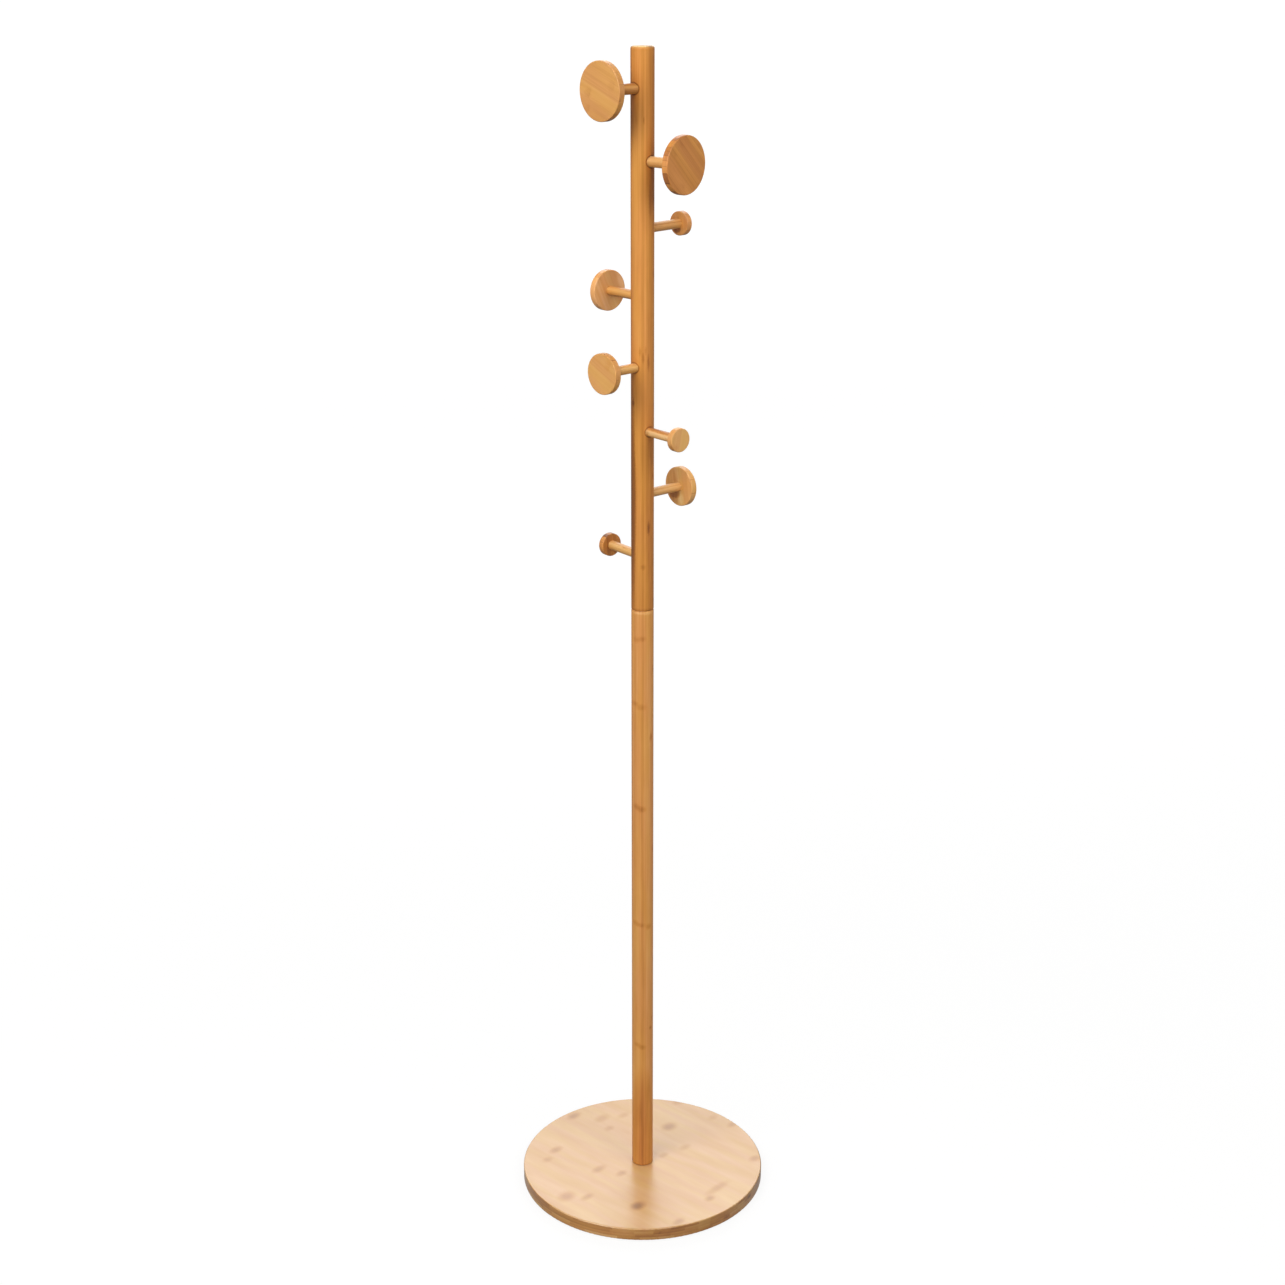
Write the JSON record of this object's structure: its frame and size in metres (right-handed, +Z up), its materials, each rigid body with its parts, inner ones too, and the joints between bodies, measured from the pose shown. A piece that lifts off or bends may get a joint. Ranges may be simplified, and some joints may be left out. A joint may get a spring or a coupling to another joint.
{
  "type": "coat stand",
  "caption": "Free-standing bamboo coat stand: a round board carries a tall two-piece pole with disc-headed pegs that climb it in a helix, for coats, hats and bags.",
  "frame": {"origin": "point where the pole's axis meets the floor, at the centre of the pads' contact plane", "axes": "+Z up along the pole, -Y the direction in which the helix of pegs starts, +X a quarter turn on, so that the pegs lie within 7 degrees of -Y, +X, +Y and -X in turn as they come down"},
  "size_m": [0.3799, 0.38, 1.75],
  "materials": {
    "board_bamboo": "gloss lacquered laminated bamboo",
    "pole_bamboo": "satin lacquered laminated bamboo, grain along the pole",
    "peg_bamboo": "satin lacquered laminated bamboo",
    "zinc_steel": "zinc plated",
    "pad_rubber": "matt black"
  },
  "bodies": {
    "lower": {"base_board": "board_bamboo", "floor_pad_1": "pad_rubber", "floor_pad_2": "pad_rubber", "floor_pad_3": "pad_rubber", "floor_pad_4": "pad_rubber", "base_bolt": "zinc_steel", "base_washer": "zinc_steel", "lower_pole": "pole_bamboo", "lower_pole_foot_insert": "zinc_steel", "lower_pole_top_insert": "zinc_steel"},
    "stud": {"pole_stud": "zinc_steel"},
    "upper": {"upper_pole": "pole_bamboo", "upper_pole_bottom_insert": "zinc_steel", "peg_1_dowel": "peg_bamboo", "peg_1_disc": "peg_bamboo", "peg_2_dowel": "peg_bamboo", "peg_2_disc": "peg_bamboo", "peg_3_dowel": "peg_bamboo", "peg_3_disc": "peg_bamboo", "peg_4_dowel": "peg_bamboo", "peg_4_disc": "peg_bamboo", "peg_5_dowel": "peg_bamboo", "peg_5_disc": "peg_bamboo", "peg_6_dowel": "peg_bamboo", "peg_6_disc": "peg_bamboo", "peg_7_dowel": "peg_bamboo", "peg_7_disc": "peg_bamboo", "peg_8_dowel": "peg_bamboo", "peg_8_disc": "peg_bamboo", "peg_studs": "zinc_steel", "peg_inserts": "zinc_steel"}
  },
  "joints": [
    {"name": "pole_lift", "type": "slide", "parent": "lower", "child": "stud", "axis": [0, 0, 1], "range_m": [0, 0.025]},
    {"name": "pole_unscrew", "type": "hinge", "parent": "stud", "child": "upper", "pos_m": [0, 0, 0.953], "axis": [0, 0, 1], "range_deg": [0, 6000]}
  ],
  "couplings": [
    {"joint": "pole_lift", "follows": "pole_unscrew", "m_per_rad": 0.00023873}
  ]
}
